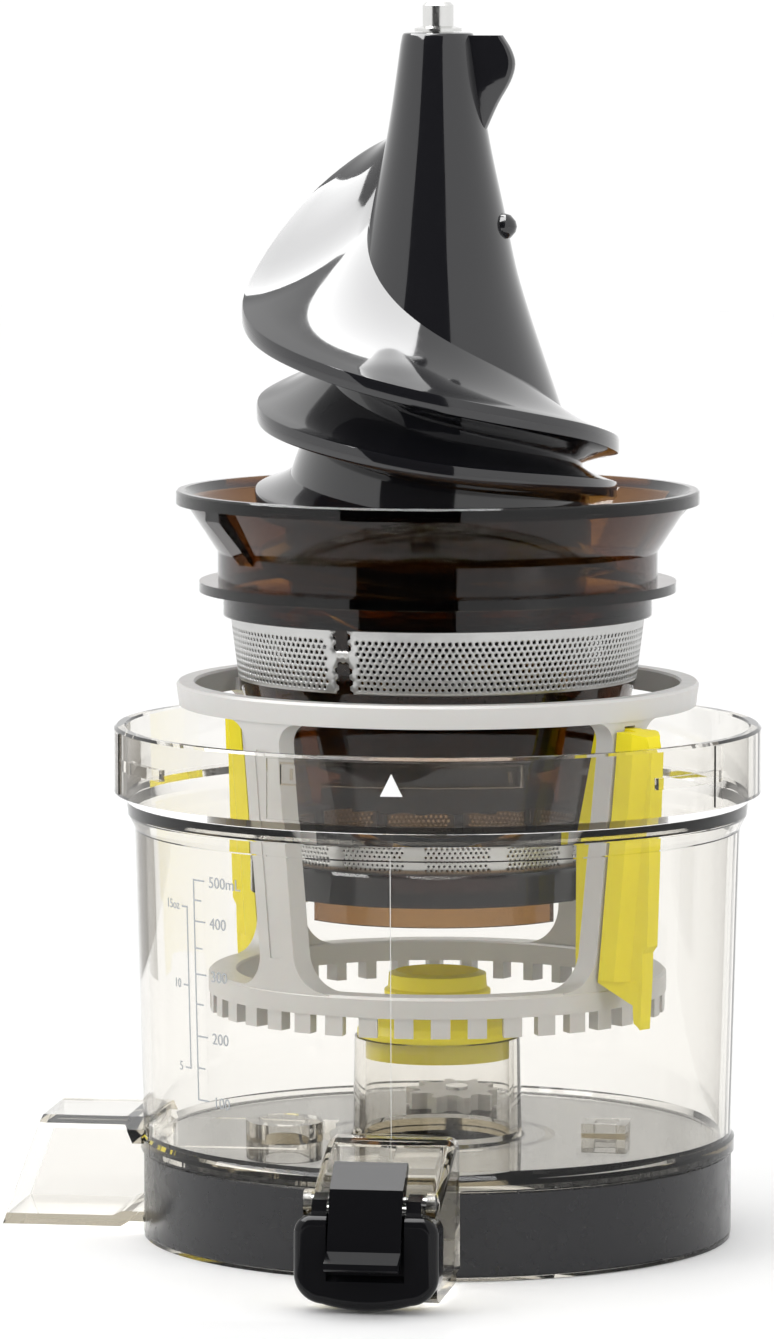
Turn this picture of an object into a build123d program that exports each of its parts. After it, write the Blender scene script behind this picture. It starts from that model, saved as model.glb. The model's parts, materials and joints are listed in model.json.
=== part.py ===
from build123d import *
import os
from math import asin, cos, degrees, pi, radians, sin

os.makedirs("parts", exist_ok=True)

# Juicing set of an upright slow juicer: bowl, spinning brush, strainer and auger on one vertical axis.
# Millimetres. The origin is on that axis, at the underside of the bowl. +Z is up, the juice spout
# points to -Y and the pulp spout to -X. The stack is lifted apart, as for cleaning.

# --- bowl ---------------------------------------------------------------------------------------
BOWL_R = 65.3               # outside of the wall just above the base
BOWL_TOP_R = 67.1           # outside of the wall just below the collar
WALL = 2.2
FLOOR_Z = 22.3              # upper face of the floor
FLOOR_T = 2.3
UNDER_Z = FLOOR_Z - FLOOR_T  # underside of the floor
FLANGE_Z = 19.3             # underside of the clear flange that sits on the base ring
COLLAR_Z = 98.5
RIM_Z = 113.5
COLLAR_R = 71.6
COLLAR_IN = 69.0
BRIDGE_Z = 2.8              # the base ring runs under the spouts up to here
SKIRT_R = 62.4              # clear skirt inside the base ring
LIP_T = 0.8                 # clear lip under the base ring
POST_R = 18.4
POST_IN = 16.2
POST_Z = 44.0
BOSS_IN = 24.0              # bore that centres the bowl on the motor base
BOSS_WALL = 2.2

# --- spouts -------------------------------------------------------------------------------------
SPOUT_HALF = 14.0           # half width of the juice spout
SPOUT_TIP = 97.0
SPOUT_ROOT = 62.6           # where both spouts start, within the thickness of the wall
SPOUT_ROOF = 31.5
SPOUT_TIP_Z = 20.5
SPOUT_WALL = 1.8
PULP_HALF = 15.0
PULP_TOP = 26.0
PULP_TIP_LOW = 95.6
PULP_TIP_HIGH = 86.8
OUTLET_ANGLE = -155.0       # the pulp outlet in the floor
OUTLET_AT = 35.2
PACKING_X = (-56.0, -36.0)  # soft plug under the pulp channel
PACKING_HALF = 9.0
CAP_HALF = 15.4
CAP_FRONT = 106.0
CAP_TOP = 20.8
HINGE_Y = -98.2
HINGE_Z = 22.6
LEVER_HALF = 7.8
LEVER_PIVOT = (-102.4, 21.6)
PIN_R = 1.5
LEVER_PIN_R = 1.1
RUN = 0.06                  # radial clearance of a running pin

# --- gear train: 20 teeth on the auger, 10 on the pinion, 40 on the brush --------------------------
SUN_R = 24.2
PINION_PITCH_R = 12.1
PINION_Y = SUN_R + PINION_PITCH_R
PINION_Z = 22.6
PINION_H = 3.6
PINION_PIN_R = 3.0

# --- brush --------------------------------------------------------------------------------------
BRUSH_TOP = 123.2
BRUSH_R = 57.8
BRUSH_IN = 53.6
BRUSH_RING_Z = 118.1
CONE_FOOT = (50.4, 57.0)     # radius and height of the posts' outer face, at the bottom and the top
CONE_HEAD = (57.0, 121.0)
GEAR_BAND_Z = 54.7
GEAR_BAND_TOP = 59.3
TOOTH_Z = 50.4
GEAR_OUT = 50.8
GEAR_IN = 44.4
BRUSH_TEETH = 40
POST_ANGLES = [-124.4 + 90 * i for i in range(4)]
POST_WIDTH = 10.0
WIPER_ANGLES = [-34.4, 145.6]

# --- strainer -----------------------------------------------------------------------------------
RIM_R = 57.8
STRAINER_TOP = 165.5
STRAINER_T = 1.8
MESH_T = 0.5
STRAINER_FLOOR_Z = 77.0
STRAINER_HOLE_R = 27.5
SKIRT_Z = 72.2               # bottom of the strainer's skirt
FLANGE_R = 52.7
FLANGE_LOW = 143.2
FLANGE_HIGH = 145.4
UPPER_RIBS = [-109.0 + 120 * i for i in range(3)]
LOWER_RIBS = 12

# --- auger --------------------------------------------------------------------------------------
AUGER_TOP = 266.0
AUGER_BOTTOM = 104.3
GEAR_BOTTOM = 96.3
GEAR_H = 3.7
AUGER_CAVITY_R = 19.8
HUB_R = 8.85
HUB_BOTTOM = 120.0
HUB_TOP = 140.0
HEX_R = 5.2                 # corners of the six-sided drive socket
TOP_PIN_R = 3.4
TOP_PIN_Z = 272.6


# --- helpers ------------------------------------------------------------------------------------
def turned(points):
    """A solid of revolution about the axis, from (radius, height) corners."""
    outline = make_face(Polyline(*[(r, 0, z) for r, z in points], close=True))
    return revolve(outline, Axis.Z, 360)


def ring(r_in, r_out, z0, z1):
    return turned([(r_in, z0), (r_out, z0), (r_out, z1), (r_in, z1)])


def sector(r_in, r_out, z0, z1, middle, half):
    """Part of a ring, from middle - half to middle + half degrees about the axis."""
    face = make_face(Polyline((r_in, 0, z0), (r_out, 0, z0), (r_out, 0, z1), (r_in, 0, z1), close=True))
    return Rot(0, 0, middle - half) * revolve(face, Axis.Z, 2 * half)


def slab(x0, x1, y0, y1, z0, z1):
    return Pos((x0 + x1) / 2, (y0 + y1) / 2, (z0 + z1) / 2) * Box(x1 - x0, y1 - y0, z1 - z0)


def side_profile(points, half):
    """A prism along X, 2 * half wide, from (y, z) corners."""
    face = make_face(Polyline(*[(0, y, z) for y, z in points], close=True))
    return extrude(face, amount=half, dir=(1, 0, 0), both=True)


def end_profile(points, half):
    """A prism along Y, 2 * half wide, from (x, z) corners."""
    face = make_face(Polyline(*[(x, 0, z) for x, z in points], close=True))
    return extrude(face, amount=half, dir=(0, 1, 0), both=True)


def cross_pin(radius, x0, x1, y, z):
    return Pos((x0 + x1) / 2, y, z) * Rot(0, 90, 0) * Cylinder(radius, x1 - x0)


def upright(radius, z0, z1, x=0.0, y=0.0):
    return Pos(x, y, (z0 + z1) / 2) * Cylinder(radius, z1 - z0)


def on_circle(radius, angle):
    return radius * cos(radians(angle)), radius * sin(radians(angle))


def gear_outline(teeth, sections):
    """Corners of a spur gear; sections are (radius, half width) from root to tip."""
    corners = []
    for i in range(teeth):
        middle = 2 * pi * i / teeth
        flank = [(r, -w) for r, w in sections] + [(r, w) for r, w in reversed(sections)]
        corners += [(r * cos(middle + w / r), r * sin(middle + w / r)) for r, w in flank]
    return corners


def spur_gear(teeth, sections, z0, height):
    return Pos(0, 0, z0) * extrude(make_face(Polyline(*gear_outline(teeth, sections), close=True)), height)


# --- bowl ---------------------------------------------------------------------------------------
def bowl_body():
    return turned([
        (SKIRT_R - WALL, 0), (BOWL_R, 0), (BOWL_R, LIP_T), (SKIRT_R, LIP_T), (SKIRT_R, FLANGE_Z),
        (BOWL_R + 0.7, FLANGE_Z), (BOWL_R + 0.7, FLOOR_Z - 0.3), (BOWL_R, FLOOR_Z + 0.5),
        (BOWL_TOP_R, 91), (68.6, 94), (69.0, COLLAR_Z), (COLLAR_R, COLLAR_Z + 0.4), (COLLAR_R, RIM_Z - 0.6),
        (COLLAR_R - 0.6, RIM_Z), (COLLAR_IN + 0.3, RIM_Z), (COLLAR_IN, RIM_Z - 0.5), (COLLAR_IN, 97),
        (66.4, 94), (BOWL_TOP_R - WALL, 90.5), (BOWL_R - WALL, FLOOR_Z + 1.2), (BOWL_R - WALL - 1, FLOOR_Z),
        (POST_IN, FLOOR_Z), (POST_IN, UNDER_Z), (SKIRT_R - WALL, UNDER_Z),
    ])


def collar_details():
    """Thicker front section of the collar, with a long shallow slot, and the bayonet lugs inside."""
    front = sector(COLLAR_IN + 1, COLLAR_R + 0.6, 99.6, 112.6, -89, 23.2)
    slot = sector(COLLAR_R - 0.4, COLLAR_R + 1, 107.2, 111.4, -88.5, 21)
    for angle in (-24.0, 90.0, 200.0):
        front += sector(COLLAR_R - 0.5, COLLAR_R + 0.45, 99.4, 112.8, angle, 1.1)
    for angle in (-30.0, 90.0, 210.0):
        front += sector(COLLAR_IN - 1.2, COLLAR_IN + 0.5, 104.5, 107.0, angle, 9)
    return front - slot


def centre_post():
    tube = turned([(POST_IN, UNDER_Z), (POST_R + 1.2, UNDER_Z), (POST_R + 1.2, FLOOR_Z),
                   (POST_R + 0.4, FLOOR_Z + 1.0), (POST_R, POST_Z), (POST_IN, POST_Z)])
    motor_boss = ring(BOSS_IN, BOSS_IN + BOSS_WALL, 0, UNDER_Z)
    return tube + motor_boss


def oval(length, width, z0, z1):
    """A stadium-shaped block at the pulp outlet, its length across the radius."""
    x, y = on_circle(OUTLET_AT, OUTLET_ANGLE)
    flat = SlotOverall(length, width)
    return Pos(x, y, z0) * Rot(0, 0, OUTLET_ANGLE + 90) * extrude(flat, z1 - z0)


def juice_spout_outer():
    profile = [(-SPOUT_ROOT, BRIDGE_Z), (-67, BRIDGE_Z), (-69, LIP_T), (-SPOUT_TIP + 3, LIP_T),
               (-SPOUT_TIP, 2.2), (-SPOUT_TIP, SPOUT_TIP_Z), (-SPOUT_TIP + 2, SPOUT_TIP_Z + 1.2),
               (-69, SPOUT_ROOF), (-SPOUT_ROOT, SPOUT_ROOF)]
    body = side_profile(profile, SPOUT_HALF)
    long_edges = body.edges().filter_by(lambda e: abs(e.tangent_at(0.5).X) < 0.05)
    roof_edges = [e for e in long_edges if e.center().Z > 22 and e.length > 6]
    return fillet(roof_edges, 2.4)


def juice_spout_inner():
    half = SPOUT_HALF - SPOUT_WALL
    profile = [(-60, FLOOR_Z + 0.1), (-66.5, FLOOR_Z + 0.1), (-69.5, 4.6), (-72, 3.0), (-SPOUT_TIP - 1, 3.0),
               (-SPOUT_TIP - 1, SPOUT_TIP_Z - 1.2), (-70, SPOUT_ROOF - 2.2), (-60, SPOUT_ROOF - 2.2)]
    return side_profile(profile, half)


def roof_pockets():
    """Two shallow moulded pockets in the spout's roof, with a web between them."""
    cut = None
    for x in (-6.4, 6.4):
        pocket = Pos(x, -78, 28.6) * Rot(18, 0, 0) * Box(9.5, 13, 1.2)
        cut = pocket if cut is None else cut + pocket
    return cut


def pulp_spout_outer():
    profile = [(-SKIRT_R, BRIDGE_Z), (-67, BRIDGE_Z), (-69, 1.6), (-PULP_TIP_LOW, 1.6),
               (-PULP_TIP_HIGH, PULP_TOP), (-SPOUT_ROOT, PULP_TOP),
               (-SPOUT_ROOT, UNDER_Z), (-SKIRT_R, UNDER_Z)]
    body = end_profile(profile, PULP_HALF)
    top_edges = [e for e in body.edges().filter_by(Axis.X) if e.center().Z > PULP_TOP - 1]
    return chamfer(top_edges, 2.6)


def pulp_channel():
    """The closed channel under the floor, from the pulp outlet to the spout."""
    outer = slab(-SKIRT_R, -24.5, -27.5, PULP_HALF, 1.6, UNDER_Z)
    return (outer & upright(SKIRT_R - 0.5, 0, FLOOR_Z)) - upright(BOSS_IN + 0.5, -1, FLOOR_Z)


def pulp_passage():
    """The space that the pulp falls and slides through."""
    under = slab(-SKIRT_R - 0.5, -27.5, -25.0, PULP_HALF - 2, 3.8, UNDER_Z)
    under = (under & upright(SKIRT_R - WALL, 0, FLOOR_Z)) - upright(BOSS_IN + BOSS_WALL + 0.8, -1, FLOOR_Z)
    mouth = [(-SKIRT_R + 5, 4.8), (-69, 4.8), (-71, 3.8), (-PULP_TIP_LOW - 2, 3.8),
             (-PULP_TIP_HIGH - 2, PULP_TOP - 2), (-68.2, PULP_TOP - 2), (-66.5, UNDER_Z),
             (-SKIRT_R + 5, UNDER_Z)]
    return under + end_profile(mouth, PULP_HALF - 2)


def pulp_window():
    return slab(PACKING_X[0] - 1.9, PACKING_X[1] + 0.6, -PACKING_HALF - 0.6, PACKING_HALF + 0.6, 0.5, 4.5)


def bowl_shell():
    body = bowl_body() + collar_details() + centre_post()
    body += oval(19, 16.4, FLOOR_Z - 1, FLOOR_Z + 4.2)
    body += pulp_channel() + pulp_spout_outer() + juice_spout_outer()
    body += sector(33, 43, FLOOR_Z - 1, FLOOR_Z + 3.2, 0, 7.5)
    body -= sector(35.5, 40.5, FLOOR_Z + 1, FLOOR_Z + 4, 0, 4.5)
    body -= juice_spout_inner()
    body -= slab(-SPOUT_HALF + 2, SPOUT_HALF - 2, -70, -58, FLOOR_Z + 0.1, FLOOR_Z + 6.8)
    body -= roof_pockets()
    body -= pulp_passage()
    body -= pulp_window()
    body -= oval(14.5, 10.5, 3.8, FLOOR_Z + 6)
    body -= upright(PINION_PIN_R, UNDER_Z - 1, FLOOR_Z + 5, 0, PINION_Y)
    body -= upright(BOWL_R + 10, -5, 0)
    for side in (-1, 1):
        ear = side_profile([(-93, 15), (-96.9, 15), (HINGE_Y - 2.2, HINGE_Z - 1.4),
                            (HINGE_Y - 2.2, HINGE_Z + 1.2), (HINGE_Y - 1.2, HINGE_Z + 2.4),
                            (HINGE_Y + 1.2, HINGE_Z + 2.4), (-93, 21.5)], 0.9)
        body += Pos(side * (SPOUT_HALF - 0.9), 0, 0) * ear
    body -= cross_pin(PIN_R, -20, 20, HINGE_Y, HINGE_Z)
    return body


# --- base ring ----------------------------------------------------------------------------------
def base_ring():
    body = turned([(SKIRT_R, LIP_T), (BOWL_R - 0.3, LIP_T), (BOWL_R, LIP_T + 0.4), (BOWL_R, FLANGE_Z - 0.5),
                   (BOWL_R - 0.4, FLANGE_Z), (SKIRT_R, FLANGE_Z)])
    body -= slab(-80, -40, -PULP_HALF - 0.1, PULP_HALF + 0.1, BRIDGE_Z, 30)
    body -= slab(-SPOUT_HALF - 0.1, SPOUT_HALF + 0.1, -80, -40, BRIDGE_Z, 30)
    return body


# --- small fixed pieces of the bowl ----------------------------------------------------------------
def post_seal():
    """Soft seal on the centre post: skirt inside the tube, dome, and ribbed neck round the drive hub."""
    neck = HUB_R + 0.35
    return turned([
        (neck + 2.2, 39.6), (POST_IN - 0.25, 39.6), (POST_IN - 0.25, POST_Z + 0.25), (17.8, POST_Z + 0.25),
        (17.8, POST_Z + 1.6), (16.6, 47.2), (13.4, 49.4), (11.8, 50.2), (11.8, 51.2), (11.2, 51.6),
        (11.2, 53.0), (11.8, 53.4), (11.8, 54.4), (11.0, 55.0), (10.8, 58.0), (neck, 58.6), (neck, 47.6),
        (13.0, 45.4), (14.2, 43.0),
    ])


def pinion_pin():
    return upright(PINION_PIN_R, UNDER_Z, 26.9, 0, PINION_Y)


def cap_hinge_pin():
    """Steel pin through the spout's ears and the cap's knuckles, kept clear of the lever."""
    return cross_pin(PIN_R, -SPOUT_HALF, SPOUT_HALF, HINGE_Y, HINGE_Z)


def brush_pinion():
    sections = [(9.9, 1.9), (PINION_PITCH_R, 1.4), (13.7, 0.7)]
    wheel = spur_gear(10, sections, PINION_Z, PINION_H)
    wheel -= upright(PINION_PIN_R + RUN, PINION_Z - 1, PINION_Z + 10)
    return Pos(0, PINION_Y, 0) * Rot(0, 0, -72) * wheel


def pulp_packing():
    """Soft plug that closes the cleaning window under the pulp channel; it hangs on its outer edge."""
    x0, x1 = PACKING_X
    plug = end_profile([(x0, 3.6), (x1, 3.6), (x1, 1.0), (x1 - 5, 1.0), (x1 - 6, 2.0), (x0 + 3.4, 2.0),
                        (x0 + 1.6, 2.0)], PACKING_HALF)
    barrel = Pos(x0 + 0.9, 0, 2.9) * Rot(90, 0, 0) * Cylinder(0.9, 2 * PACKING_HALF)
    return plug + barrel


# --- cap and lever --------------------------------------------------------------------------------
def cap_block():
    """Rounded block with a slightly convex underside, closed over the mouth."""
    corner = 4.0
    foot_x, foot_z = 9.4, 8.0
    with BuildSketch(Plane.XZ) as outline:
        with BuildLine():
            Line((-CAP_HALF, foot_z), (-CAP_HALF, CAP_TOP - corner))
            RadiusArc((-CAP_HALF, CAP_TOP - corner), (-CAP_HALF + corner, CAP_TOP), corner)
            Line((-CAP_HALF + corner, CAP_TOP), (CAP_HALF - corner, CAP_TOP))
            RadiusArc((CAP_HALF - corner, CAP_TOP), (CAP_HALF, CAP_TOP - corner), corner)
            Line((CAP_HALF, CAP_TOP - corner), (CAP_HALF, foot_z))
            RadiusArc((CAP_HALF, foot_z), (foot_x, 1.8), 6.4)
            ThreePointArc((foot_x, 1.8), (0, 0.5), (-foot_x, 1.8))
            RadiusArc((-foot_x, 1.8), (-CAP_HALF, foot_z), 6.4)
        make_face()
    block = Pos(0, -SPOUT_TIP - 0.5, 0) * extrude(outline.sketch, CAP_FRONT - SPOUT_TIP - 0.5)
    rim = block.faces().sort_by(Axis.Y)[0].edges()
    return fillet(rim, 2.2)


def juice_cap():
    body = cap_block()
    body -= side_profile([(-CAP_FRONT - 1, 6.5), (-CAP_FRONT + 2.4, 8), (-CAP_FRONT + 2.4, 16), (-99.4, 18.4),
                          (-99.4, 30), (-CAP_FRONT - 1, 30)], LEVER_HALF + 0.5)
    for side in (-1, 1):
        relief = slab(-1.3, 1.3, HINGE_Y - 2.8, -SPOUT_TIP + 1, 14.4, 30)
        body -= Pos(side * (SPOUT_HALF - 0.9), 0, 0) * relief
        ear = side_profile([(-97.6, 16), (-104.6, 16), (-104.4, 21.6), (-103.2, 23.8),
                            (HINGE_Y - 0.4, HINGE_Z + 2.0), (HINGE_Y + 0.8, HINGE_Z + 1.8),
                            (HINGE_Y + 1.5, HINGE_Z), (-97.6, 21.2)], 1.6)
        body += Pos(side * (LEVER_HALF + 2.2), 0, 0) * ear
    body -= cross_pin(PIN_R + RUN, -20, 20, HINGE_Y, HINGE_Z)
    body -= cross_pin(LEVER_PIN_R, -20, 20, *LEVER_PIVOT)
    return body


def cap_seal():
    """Soft plug on the cap that closes the spout's mouth, hollowed from behind."""
    half = SPOUT_HALF - 2.4
    plug = side_profile([(-SPOUT_TIP - 0.5, 3.4), (-95, 3.9), (-93.5, 4.4), (-93.5, 17.6), (-95, 18.2),
                         (-SPOUT_TIP - 0.5, 18.4)], half)
    return plug - slab(-half + 2, half - 2, -95.5, -90, 6.5, 15.5)


def cap_lever():
    """Strap hinged at the top of the cap, with a finger tab in front."""
    y, z = LEVER_PIVOT
    strap = side_profile([
        (y + 2.0, z + 2.2), (y + 6.2, 29.2), (y + 6.4, 30.4), (y + 5.2, 31.0), (y - 1.6, z + 4.6),
        (y - 5.4, 13.6), (-112.4, 11.8), (-112.6, 10.6), (-111.6, 10.0), (y - 5.2, 9.2), (y - 3.4, z - 2.6),
        (y - 2.0, z - 2.2), (y + 1.4, z - 2.2),
    ], LEVER_HALF)
    strap += cross_pin(2.5, -LEVER_HALF, LEVER_HALF, y, z)
    return strap - cross_pin(LEVER_PIN_R + RUN, -20, 20, y, z)


def lever_pin():
    return cross_pin(LEVER_PIN_R, -LEVER_HALF - 3.7, LEVER_HALF + 3.7, *LEVER_PIVOT)


# --- brush --------------------------------------------------------------------------------------
def brush_cone():
    """The tapered wall that the posts are cut from."""
    foot_r, foot_z = CONE_FOOT
    head_r, head_z = CONE_HEAD
    return turned([(foot_r - 5.2, foot_z), (foot_r, foot_z), (head_r, head_z), (head_r - 4.6, head_z)])


def brush_post(angle):
    """One upright post, wider where it meets the rings, with a groove down its face."""
    half = POST_WIDTH / 2
    foot_z, head_z = CONE_FOOT[1], CONE_HEAD[1]
    low, high = 8.0, 5.0        # radii where the post runs into the rings
    low_z, high_z = GEAR_BAND_TOP + low, BRUSH_RING_Z - high
    with BuildSketch(Plane.YZ) as face:
        with BuildLine():
            Polyline((-half - low, foot_z), (half + low, foot_z), (half + low, GEAR_BAND_TOP))
            RadiusArc((half + low, GEAR_BAND_TOP), (half, low_z), low)
            Line((half, low_z), (half, high_z))
            RadiusArc((half, high_z), (half + high, BRUSH_RING_Z), high)
            Polyline((half + high, BRUSH_RING_Z), (half + high, head_z), (-half - high, head_z),
                     (-half - high, BRUSH_RING_Z))
            RadiusArc((-half - high, BRUSH_RING_Z), (-half, high_z), high)
            Line((-half, high_z), (-half, low_z))
            RadiusArc((-half, low_z), (-half - low, GEAR_BAND_TOP), low)
            Line((-half - low, GEAR_BAND_TOP), (-half - low, foot_z))
        make_face()
    post = extrude(face.sketch, 70) & brush_cone()
    tilt = degrees(asin((CONE_HEAD[0] - CONE_FOOT[0]) / (head_z - foot_z)))
    groove = Pos(54.6, 0, 89) * Rot(0, tilt, 0) * Box(2.4, 3.6, 46)
    return Rot(0, 0, angle) * (post - groove)


def brush_frame():
    body = turned([(BRUSH_IN, BRUSH_RING_Z), (BRUSH_R - 0.6, BRUSH_RING_Z), (BRUSH_R, 122.6),
                   (BRUSH_R - 0.5, BRUSH_TOP), (BRUSH_IN + 0.4, BRUSH_TOP), (BRUSH_IN, BRUSH_TOP - 0.5)])
    body += turned([(GEAR_IN, GEAR_BAND_Z), (GEAR_OUT, GEAR_BAND_Z), (GEAR_OUT, GEAR_BAND_TOP - 0.6),
                    (GEAR_OUT - 0.6, GEAR_BAND_TOP), (GEAR_IN + 0.4, GEAR_BAND_TOP),
                    (GEAR_IN, GEAR_BAND_TOP - 0.4)])
    for angle in POST_ANGLES:
        body += brush_post(angle)
    tooth = make_face(Polyline((46.9, -1.2), (50.4, -2.1), (50.4, 2.1), (46.9, 1.2), close=True))
    peg = Pos(0, 0, TOOTH_Z) * extrude(tooth, GEAR_BAND_Z - TOOTH_Z + 0.5)
    body += [Rot(0, 0, 360 * i / BRUSH_TEETH) * peg for i in range(BRUSH_TEETH)]
    for angle in WIPER_ANGLES:
        body -= wiper_slot(angle)
    return body


def wiper_slot(angle):
    """Opening down the middle of a post, and through both rings, that holds a wiper."""
    slot = slab(40, 60, -1.7, 1.7, 60.5, 117.0)
    return Rot(0, 0, angle) * slot


def wiper(angle):
    """A soft blade through a post: its outer lip sweeps the bowl and its inner lip the strainer."""
    pad_z, pad_height = 61.5, 54.8
    blade = [(42.2, 61.0), (51.0, 61.0), (58.8, 56.5), (59.0, 52.6), (60.4, 51.2), (61.0, 60.0), (61.2, 68.0),
             (62.4, 69.5), (63.8, 113.0), (63.2, 115.2), (58.2, 116.5), (48.2, 116.5), (42.4, 92.0)]
    outline = end_profile(blade, 6)
    web = end_profile(blade, 1.65)
    foot_half = [(51, 4.4), (58, 2.4), (61.5, 1.0)]
    foot_face = [(x, -y) for x, y in foot_half] + foot_half[::-1]
    foot = Pos(0, 0, 51) * extrude(make_face(Polyline(*foot_face, close=True)), pad_z - 51)
    pad_half = [(51.3, 4.7), (55.4, 4.3), (58.0, 2.0), (70, 0.9)]
    pad_face = [(x, -y, pad_z) for x, y in pad_half] + [(x, y, pad_z) for x, y in pad_half[::-1]]
    lean = (CONE_HEAD[0] - CONE_FOOT[0]) / (CONE_HEAD[1] - CONE_FOOT[1])
    pad = extrude(make_face(Polyline(*pad_face, close=True)), amount=pad_height, dir=(lean, 0, 1))
    clear_of_band = upright(GEAR_OUT + 0.3, 50, 62)
    return Rot(0, 0, angle) * (web + ((pad + foot) & outline) - clear_of_band)


# --- strainer -----------------------------------------------------------------------------------
def strainer_outline(grow):
    """Outer wall of the straining part, from bottom to top, moved inwards by -grow."""
    return [(35.4 + grow, 84.0), (36.0 + grow, 93.0), (42.6 + grow, 119.0), (44.0 + grow, 124.0),
            (45.8 + grow, 138.0)]


def strainer_body():
    inner = -STRAINER_T
    wall = strainer_outline(0) + list(reversed(strainer_outline(inner)))
    body = turned(wall)
    body += turned([
        (45.8 + inner, 138), (47.4, 138), (47.4, FLANGE_LOW), (FLANGE_R, FLANGE_LOW), (FLANGE_R, FLANGE_HIGH),
        (48.6, FLANGE_HIGH), (48.6, 152), (55.6, 162.6), (RIM_R, 162.6), (RIM_R, 165.1),
        (RIM_R - 0.4, STRAINER_TOP), (56.0, STRAINER_TOP), (53.6, 163.4), (46.9, 152.4), (46.9, 142.5),
        (45.6, 141),
    ])
    floor_top = STRAINER_FLOOR_Z + 2.5
    body += turned([
        (31.2, 84), (36.6, 84), (37.2, 83.4), (37.2, STRAINER_FLOOR_Z), (33.2, STRAINER_FLOOR_Z),
        (33.2, SKIRT_Z),
        (31.4, SKIRT_Z), (31.4, STRAINER_FLOOR_Z), (STRAINER_HOLE_R, STRAINER_FLOOR_Z),
        (STRAINER_HOLE_R, floor_top), (31.2, floor_top),
    ])
    body += sector(36.0, 41.5, STRAINER_FLOOR_Z, 84.0, 188, 13)
    body += ring(33.4, 36.2, 82.5, 85.0) + ring(33.4, 36.6, 91.8, 94.0)
    body += rim_lug()
    body -= lower_mesh() + upper_mesh()
    body -= window(125.0, 137.2, UPPER_RIBS, 2.1) + window(85.2, 91.6, lower_angles(), 1.6)
    body -= skirt_cut(90, 29) + skirt_cut(OUTLET_ANGLE, 19) + skirt_cut(0, 32)
    return body


def lower_angles():
    return [360 / LOWER_RIBS * i for i in range(LOWER_RIBS)]


def rim_lug():
    """Locating lugs under the rim, outside the funnel."""
    lug = end_profile([(46, 163), (57.0, 163), (57.0, 160.5), (48.6, 150.5), (46, 150.5)], 3.0)
    lug -= turned([(0, 150), (48, 150), (48, 152.2), (54.4, 163), (0, 163)])
    return Rot(0, 0, -141) * lug + Rot(0, 0, 24) * lug


def skirt_cut(angle, half):
    return sector(28.5, 36.0, 70, STRAINER_FLOOR_Z, angle, half)


def wall_radius(z):
    """Outer radius of the straining wall at height z."""
    points = strainer_outline(0)
    for (r0, z0), (r1, z1) in zip(points, points[1:]):
        if z0 <= z <= z1:
            return r0 + (r1 - r0) * (z - z0) / (z1 - z0)
    return points[-1][0]


def mesh_shell(z1, z0):
    """A thin cone of perforated sheet let into the outside of the wall."""
    low, high = wall_radius(z0), wall_radius(z1)
    return turned([(low - MESH_T, z0), (low, z0), (high, z1), (high - MESH_T, z1)])


def upper_mesh():
    """The upper sheet is open at the first rib, apart from a narrow bridge."""
    sheet = mesh_shell(138.0, 124.0)
    opening = sector(40, 50, 123, 130.6, UPPER_RIBS[0], 2.2)
    opening += sector(40, 50, 131.6, 139, UPPER_RIBS[0], 2.2)
    return sheet - opening


def lower_mesh():
    return mesh_shell(93.0, 84.0)


def window(z0, z1, rib_angles, rib_half):
    """Openings between the ribs, right through the wall."""
    band = None
    step = 360 / len(rib_angles)
    for angle in rib_angles:
        gap = sector(30, 50, z0, z1, angle + step / 2, step / 2 - rib_half)
        band = gap if band is None else band + gap
    return band


# --- auger --------------------------------------------------------------------------------------
MAIN_FLIGHT = [  # degrees about the axis, radius and height of the rim
    (128, 12, 243), (145, 21, 238.5), (160, 30, 230), (172, 37, 219.5), (182, 42, 209.5), (192, 43.2, 204.5),
    (235, 43.2, 195), (279, 42.4, 187), (325, 41, 180.5), (369, 40, 175), (460, 40, 169.5), (550, 40.4, 164),
    (640, 40, 156.5), (730, 39.4, 149), (820, 37.8, 141), (910, 35.8, 133), (1000, 33.8, 125),
    (1090, 31.8, 117), (1150, 30.8, 112)]
SECOND_FLIGHT = [
    (150, 26, 192), (165, 32, 189.5), (180, 38.6, 185.5), (192, 40, 183), (235, 40, 177.5), (279, 40, 172),
    (325, 40, 168.5), (369, 39.6, 165.2), (460, 39.6, 158.5), (550, 39.4, 151.5), (640, 38.2, 144),
    (730, 36.6, 136.5), (820, 34.6, 128.5), (910, 32.6, 120.5), (1000, 30.8, 112.5)]
CORE = [(7.9, AUGER_TOP), (11.0, 244.5), (14.7, 226.8), (18.2, 211), (26.8, 185), (33.4, 165.5), (33.6, 150),
        (31.8, 138), (28.0, 118), (26.4, 107)]


def core_radius(z):
    for (r1, z1), (r0, z0) in zip(CORE, CORE[1:]):
        if z0 <= z <= z1:
            return r0 + (r1 - r0) * (z - z0) / (z1 - z0)
    return CORE[-1][0]


def flight(points, thickness):
    """A helical ridge lofted through sections in planes that hold the axis."""
    sections = []
    for angle, radius, z in points:
        depth = max(radius - core_radius(z), 1.0)
        rise = min(0.85 * depth, 20)
        root = core_radius(z + rise) - 2.5
        base = core_radius(z - thickness) - 2.5
        corners = [(root, 0, z + rise), (radius, 0, z + thickness / 2), (radius, 0, z - thickness / 2),
                   (base, 0, z - thickness / 2 - 0.22 * depth)]
        sections.append(Rot(0, 0, angle) * make_face(Polyline(*corners, close=True)))
    return loft(sections, ruled=True)


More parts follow.
